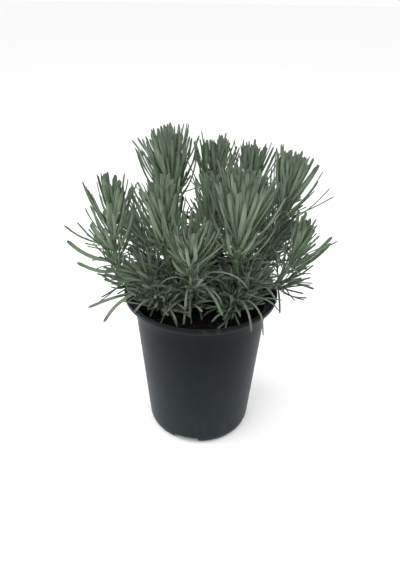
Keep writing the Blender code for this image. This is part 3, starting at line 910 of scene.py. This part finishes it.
def degrees_between(vector, axis):
    """The angle between a vector and a unit axis."""
    return math.degrees(math.acos(max(-1, min(1, float(np.dot(unit(vector), axis))))))


def turned_about(vector, axis, angle):
    """The vector turned about a unit axis that is square to it."""
    return vector * math.cos(angle) + np.cross(axis, vector) * math.sin(angle)


def axis_at(line, index):
    low, high = max(0, index - 1), min(len(line) - 1, index + 1)
    return unit(line[high] - line[low])


def measure_leaf(leaf, axis):
    """A CAD leaf's angle to its axis in degrees at its base and at its tip, outward direction and length."""
    chord = leaf[-1] - leaf[0]
    outward = unit(chord - axis * float(np.dot(chord, axis)))
    opening = degrees_between(leaf[1] - leaf[0], axis)
    closing = degrees_between(leaf[-1] - leaf[-2], axis)
    return opening, closing, outward, path_length(leaf)


# ---------------------------------------------------------------- shoots
# Leaf width of the shoots whose leaves are wider or narrower than usual, as a share of the usual width.
WIDTHS = {
    "back_left": 1.15, "centre_left": 1.16, "centre_right": 1.22, "far_right": 1.1, "front": 1.05,
    "low_left": 0.85, "low_right": 0.85, "rosette_left": 0.72, "rosette_right": 0.72,
}
# Shoots with more young leaves than the others, and how many more beside each CAD leaf.
FULL_TUFTS = {"back_left": 3, "centre_right": 1}
YOUNG_LEAVES = 2
# Above this share of a shoot, one more young leaf grows beside each CAD leaf.
FULLER_ABOVE = 0.3
# Low shoots whose leaves have all turned grey.
GREY_SHOOTS = ("rosette_left", "rosette_right", "low_right")
# Tone of the leaves, from 0 for the darkest to 1 for the palest: of a usual shoot, and fixed tones for the
# older low shoots, set as painted shade so that the top light does not make them bright.
TONES = (0.28, 0.58)
LOW_SHADED_TONES = {"rosette_left": 0.42, "rosette_right": 0.42, "low_left": 0.24, "low_right": 0.42}
TONE_RISE = 0.12
# Shoots with leaves that stand free of the plant: the width of those leaves as a share of the shoot's usual
# width. They are the old leaves that are at least as long as this.
FREE_LEAVED = {"far_left": 1.2, "low_left": 1.2, "right": 1.15, "rosette_right": 0.9, "front": 0.8}
FREE_LENGTH = 0.0345
# Painted shade: the leaves that stand free are painted darker by this much of their tone.
FREE_PAINTED_SHADE = 0.3
# Free leaves turn their blades square to this direction, towards the light and the front.
FREE_BLADE = np.array([0.0, 0.5, 0.87])
# Below this share of a shoot the leaves are old, and narrower the lower they are.
OLD_PART = 0.4
NARROWEST = 0.74
# Side shoots grow below this share, on the shoots with more leaves than this.
SPRIGS_BELOW = 0.45
SPRIG_BEARING_LEAVES = 8


def make_shoot(name, stem, leaves, material):
    """A leafy shoot: a green stem, the CAD leaves, younger leaves beside them and a tuft at the tip."""
    dice = random.Random(f"{SEED}{name}")
    builder = Builder()
    axis_line = shoot_axis(stem, leaves)
    add_green_stem(builder, axis_line)
    # Painted shade: the low shoots take fixed tones that keep them from looking bright under the top light.
    shoot_tone = LOW_SHADED_TONES.get(name, dice.uniform(*TONES))
    widest = LEAF_WIDTH * WIDTHS.get(name, 1.0)
    for leaf in leaves:
        nearest = int(np.argmin(np.linalg.norm(axis_line - leaf[0], axis=1)))
        share = nearest / (len(axis_line) - 1)
        axis = axis_at(axis_line, nearest)
        opening, closing, outward, length = measure_leaf(leaf, axis)
        across = unit(np.cross(axis, outward))
        tone = shoot_tone + dice.uniform(-0.24, 0.22) + TONE_RISE * share
        base = axis_line[nearest] * 0.5 + leaf[0] * 0.5
        wide = widest * (NARROWEST + (1 - NARROWEST) * min(1.0, share / OLD_PART))
        young = YOUNG_LEAVES + int(share > FULLER_ABOVE) + FULL_TUFTS.get(name, 0)
        if name in FREE_LEAVED and share < OLD_PART and length > FREE_LENGTH:
            wide = widest * FREE_LEAVED[name]
            # Painted shade: a free leaf is painted darker.
            tone -= FREE_PAINTED_SHADE
            heading = unit(leaf[1] - leaf[0])
            across = unit(FREE_BLADE - heading * float(FREE_BLADE @ heading))
            young = 0
        add_leaf(builder, dice, [base, *leaf[1:]], across, wide * dice.uniform(0.9, 1.12), tone)
        for _ in range(young):
            add_young_leaf(builder, dice, base, axis, outward, opening, closing, length, tone, wide)
        if share < SPRIGS_BELOW and len(leaves) > SPRIG_BEARING_LEAVES:
            heading = turned_about(outward, axis, dice.uniform(-0.4, 0.4))
            heading = unit(axis + heading * dice.uniform(0.5, 1.0))
            add_sprig(builder, dice, base, heading, length=0.013, leaf_length=0.021, tone=tone, wide=0.7)
    add_tip(builder, dice, axis_line, shoot_tone, widest, np.mean([path_length(leaf) for leaf in leaves]))
    make_piece(f"leafy_shoot_{name}", builder, "leaf", material, [f"shoot_{name}"])


def add_young_leaf(builder, dice, base, axis, outward, opening, closing, length, tone, wide):
    """A younger leaf beside an older one, turned round the stem from it and standing a little closer."""
    heading = turned_about(outward, axis, math.radians(dice.choice((-1, 1)) * dice.uniform(22, 80)))
    opened = opening * dice.uniform(0.7, 1.15) + dice.uniform(-3, 5)
    curl = (closing - opening) * dice.uniform(0.7, 1.15) + dice.uniform(-4, 4)
    curl = max(curl, -2 - opened)
    start = base + axis * dice.uniform(0.0, 0.004)
    knots = arc_knots(start, axis, heading, opened, curl, length * dice.uniform(0.8, 1.04))
    if has_room(knots):
        across = unit(np.cross(axis, heading))
        width = wide * dice.uniform(0.8, 1.0)
        add_leaf(builder, dice, knots, across, width, tone + dice.uniform(-0.12, 0.16))


TIP_LEAVES = 14
TIP_TURN = 2.4
# The innermost tip leaf opens by the first of these angles in degrees, the outermost by nearly the last.
TIP_OPENING = (6, 38)


def add_tip(builder, dice, line, tone, wide, length):
    """The youngest leaves, held nearly upright round the shoot's tip."""
    axis = axis_at(line, len(line) - 1)
    least, most = TIP_OPENING
    for number in range(TIP_LEAVES):
        heading = perpendicular(axis, number * TIP_TURN + dice.uniform(-0.3, 0.3))
        opened = least + (most - least) * (number / TIP_LEAVES) + dice.uniform(-3, 3)
        long = length * dice.uniform(0.5, 0.7)
        knots = arc_knots(line[-1 - number // 4], axis, heading, opened, -0.5 * opened, long)
        across = unit(np.cross(axis, heading))
        add_leaf(builder, dice, knots, across, wide * dice.uniform(0.7, 0.9), tone + dice.uniform(0.0, 0.24))


SPRIG_PAIR_STEP = 0.0042
SPRIG_LEAST_PAIRS = 2
SPRIG_RADIUS = 0.0008
SPRIG_LIFT = 0.6
SPRIG_TURN = 1.75
SPRIG_TURNS = [math.tau * step / 6 for step in range(6)]
# Most leaves of a sprig bend towards it; the others bend away, by these ranges in degrees.
SPRIG_BEND_IN = (-34, -8)
SPRIG_BEND_OUT = (5, 40)
SPRIG_BENT_IN = 0.75
# What the leaf material reads on a green stem: tone, along, across and underside.
SPRIG_STEM_ROW = (0.55, 0.1, 0.5, 0.0)
GREEN_STEM_ROW = (0.62, 0.1, 0.5, 0.0)


def add_sprig(builder, dice, start, heading, length, leaf_length, tone, wide):
    """A short side shoot with a few pairs of small leaves."""
    pairs = max(SPRIG_LEAST_PAIRS, round(length / SPRIG_PAIR_STEP))
    bend = unit(heading + UPRIGHT * SPRIG_LIFT)
    middle = start + heading * length * 0.5
    knots = [start, middle, middle + bend * length * 0.5]
    path = smooth_path(knots, pairs + 2)
    if not has_room(knots):
        return
    rings, rows = [], []
    tangents, sides = transported(path, unit(np.cross(heading, np.array([0.3, 0.2, 1.0]))))
    for point, side, tangent in zip(path, sides, tangents):
        other = np.cross(tangent, side)
        outwards = [side * math.cos(turn) + other * math.sin(turn) for turn in SPRIG_TURNS]
        rings.append([tuple(point + outward * SPRIG_RADIUS) for outward in outwards])
        rows.append([SPRIG_STEM_ROW] * len(SPRIG_TURNS))
    builder.loft(rings, rows)
    phase = dice.uniform(0, math.tau)
    for pair in range(1, pairs + 1):
        for flip in (0, math.pi):
            outward = perpendicular(tangents[pair], phase + pair * SPRIG_TURN + flip)
            opened = 58 - 34 * pair / pairs + dice.uniform(-8, 8)
            curl = dice.uniform(*(SPRIG_BEND_IN if dice.random() < SPRIG_BENT_IN else SPRIG_BEND_OUT))
            long = leaf_length * dice.uniform(0.65, 1.1)
            arc = arc_knots(path[pair], tangents[pair], outward, opened, curl, long)
            if has_room(arc):
                across = unit(np.cross(tangents[pair], outward))
                width = LEAF_WIDTH * wide * dice.uniform(0.8, 1.1)
                add_leaf(builder, dice, arc, across, width, tone + dice.uniform(-0.15, 0.2))


GREEN_STEM_SAMPLES = 40
GREEN_STEM_SIDES = 12
GREEN_STEM_RADIUS = 0.0020
GREEN_STEM_TAPER = 0.0009
GREEN_STEM_SQUARE = 0.10


def add_green_stem(builder, line):
    """The square green stem of a shoot, from its woody stem to its tip."""
    path = smooth_path(line, GREEN_STEM_SAMPLES)
    tangents, sides = transported(path, SIDEWAYS)
    rings, rows = [], []
    for index, (point, side, tangent) in enumerate(zip(path, sides, tangents)):
        share = index / (len(path) - 1)
        other = np.cross(tangent, side)
        radius = GREEN_STEM_RADIUS - GREEN_STEM_TAPER * share
        ring = []
        for step in range(GREEN_STEM_SIDES):
            turn = math.tau * step / GREEN_STEM_SIDES
            square = radius * (1 + GREEN_STEM_SQUARE * math.cos(4 * turn))
            ring.append(tuple(point + (side * math.cos(turn) + other * math.sin(turn)) * square))
        rings.append(ring)
        rows.append([GREEN_STEM_ROW] * GREEN_STEM_SIDES)
    builder.loft(rings, rows)


# ---------------------------------------------------------------- low growth
# Old leaves that rise and curl over: share of the stem, the way they lean in degrees from +X, how far they
# open and how far they curl in degrees, and length.
CURLED_LEAVES = {
    "front": (
        (0.95, -12, 22, 128, 0.056), (0.95, -30, 50, 120, 0.036), (0.75, 10, 12, 150, 0.038),
        (0.85, 190, 12, 150, 0.036), (0.55, -100, 12, 140, 0.034),
    ),
    "centre_right": (
        (0.95, -10, 32, 100, 0.062), (0.95, -28, 62, 95, 0.046), (0.8, -22, 70, 120, 0.044),
        (0.7, 0, 12, 150, 0.036), (0.8, 190, 12, 150, 0.036),
    ),
    "rosette_right": ((0.7, 5, 12, 150, 0.036), (0.9, -20, 20, 140, 0.034)),
    "low_right": ((0.8, -10, 12, 150, 0.034), (0.6, -40, 20, 140, 0.034)),
    "rosette_left": ((0.8, -100, 12, 150, 0.034), (0.6, -60, 20, 150, 0.034), (0.9, 180, 12, 150, 0.034)),
}
CURLED_STEPS = 8
# Side shoots low on each stem, and thin old leaves there.
SPRIGS = 9
OLD_LEAVES = 18
LOW_SAMPLES = 30
LOW_FIRST = 4
# Growth starts this far above the middle of the soil.
LOW_CLEARANCE = 0.003


def make_low_growth(name, stem, material):
    """What grows low on a stem: side shoots, and older leaves that arch over into the mouth of the pot."""
    dice = random.Random(f"{SEED}low{name}")
    builder = Builder()
    path = smooth_path(stem, LOW_SAMPLES)
    tone = dice.uniform(0.1, 0.4)
    lowest = SOIL_MIDDLE_Z + LOW_CLEARANCE
    bare = [step for step in range(LOW_FIRST, LOW_SAMPLES - 1) if path[step][2] > lowest]
    for _ in range(SPRIGS):
        step = dice.choice(bare)
        axis = axis_at(path, step)
        heading = unit(perpendicular(axis, dice.uniform(0, math.tau)) + axis * 0.7)
        length = dice.uniform(0.008, 0.018)
        add_sprig(builder, dice, path[step], heading, length, leaf_length=0.026, tone=tone, wide=0.72)
    for _ in range(OLD_LEAVES):
        step = dice.choice(bare[: len(bare) * 2 // 3])
        axis = axis_at(path, step)
        heading = perpendicular(axis, dice.uniform(0, math.tau))
        curl = dice.uniform(-20, 130)
        knots = arc_knots(path[step], axis, heading, dice.uniform(28, 62), curl, dice.uniform(0.022, 0.044))
        if has_room(knots):
            across = unit(np.cross(axis, heading))
            width = LEAF_WIDTH * dice.uniform(0.55, 0.75)
            add_leaf(builder, dice, knots, across, width, dice.uniform(0.15, 1.0))
    for share, lean_deg, opening, curl, length in CURLED_LEAVES.get(name, ()):
        start = path[bare[int((len(bare) - 1) * share)]]
        heading = turned_about(SIDEWAYS, UPRIGHT, math.radians(lean_deg))
        knots = arc_knots(start, UPRIGHT, heading, opening, curl, length, CURLED_STEPS)
        if has_room(knots):
            add_leaf(builder, dice, knots, unit(np.cross(UPRIGHT, heading)), LEAF_WIDTH * 0.7, 0.75)
    make_piece(f"low_growth_{name}", builder, "leaf", material, [])


# ---------------------------------------------------------------- the whole plant
def main():
    make_camera()
    make_studio()
    make_pot(pot_material())
    make_soil(soil_material())
    bark = bark_material()
    leaf = leaf_material("leaf", FRESH_GREENS, FRESH_PALE)
    old_leaf = leaf_material("old_leaf", OLD_GREENS, OLD_PALE)
    for node in sorted(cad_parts):
        if not node.startswith("shoot_"):
            continue
        name = node.removeprefix("shoot_")
        stem = stem_line(f"stem_{name}")
        make_stem(name, stem, bark)
        make_shoot(name, stem, leaf_lines(node), old_leaf if name in GREY_SHOOTS else leaf)
        make_low_growth(name, stem, old_leaf)


main()
